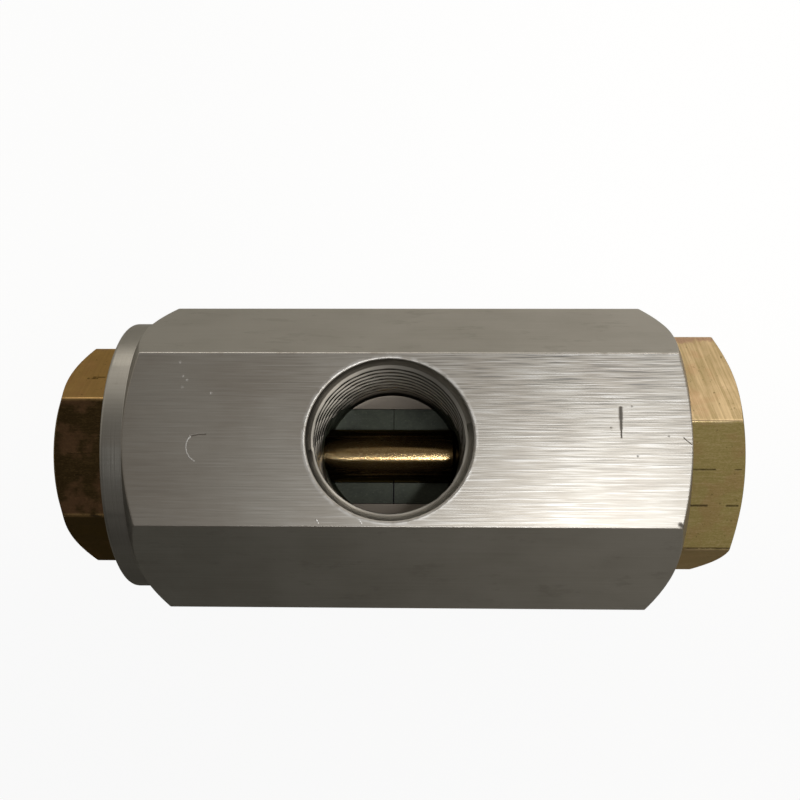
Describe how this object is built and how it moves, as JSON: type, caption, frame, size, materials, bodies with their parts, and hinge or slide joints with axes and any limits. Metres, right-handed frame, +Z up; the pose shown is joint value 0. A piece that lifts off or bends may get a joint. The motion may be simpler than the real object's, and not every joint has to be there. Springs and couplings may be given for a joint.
{
  "type": "air compressor release valve",
  "caption": "Hexagon-bar air release valve with brass reducing fittings on its ends, a threaded side port, cross-drilled inner sleeves and a spring-closed spool that slides to vent air.",
  "frame": {"origin": "on the resting flat of the hexagon bar, straight below the side port's axis, midway between the outer faces of the end fittings", "axes": "+X along the main axis towards the larger inlet fitting, +Z up out of the side port, +Y to the left when looking along +X"},
  "size_m": [0.0572, 0.0276, 0.024],
  "materials": {
    "bar_aluminium": "machined hexagon bar with fine drawn lines, scuffs and nicks",
    "bright_brass": "milled, lightly tarnished",
    "dark_brass": "milled, darker tarnish",
    "spool_brass": "turned and polished",
    "inner_brass": "turned",
    "sleeve_finish": "hard-anodised grey-green, matte",
    "seal_rubber": "smooth black rubber",
    "facing_rubber": "moulded black rubber",
    "steel": "plain steel",
    "spring_steel": "drawn spring wire"
  },
  "bodies": {
    "housing": {"valve_body": "bar_aluminium", "inlet_fitting": "bright_brass", "pilot_fitting": "dark_brass", "inlet_fitting_seal": "seal_rubber", "pilot_fitting_seal": "seal_rubber", "left_sleeve": "sleeve_finish", "right_sleeve": "sleeve_finish", "left_sleeve_seal": "seal_rubber", "right_sleeve_seal": "seal_rubber", "sleeve_spacer": "sleeve_finish", "seat_ring": "inner_brass", "seat_ring_seal": "seal_rubber", "return_spring": "spring_steel", "spring_shim": "steel", "pilot_jet": "inner_brass"},
    "spool_group": {"spool": "spool_brass", "spool_seal": "seal_rubber", "poppet_disc": "inner_brass", "poppet_facing": "facing_rubber", "poppet_washer": "steel", "poppet_nut": "steel", "spring_seat": "steel", "spring_clip": "steel"}
  },
  "joints": [
    {"name": "spool_slide", "type": "slide", "parent": "housing", "child": "spool_group", "axis": [-1, 0, 0], "range_m": [0, 0.0025], "stiffness_N_per_m": 1000, "springref_m": -0.006, "deforming": ["return_spring"]}
  ]
}
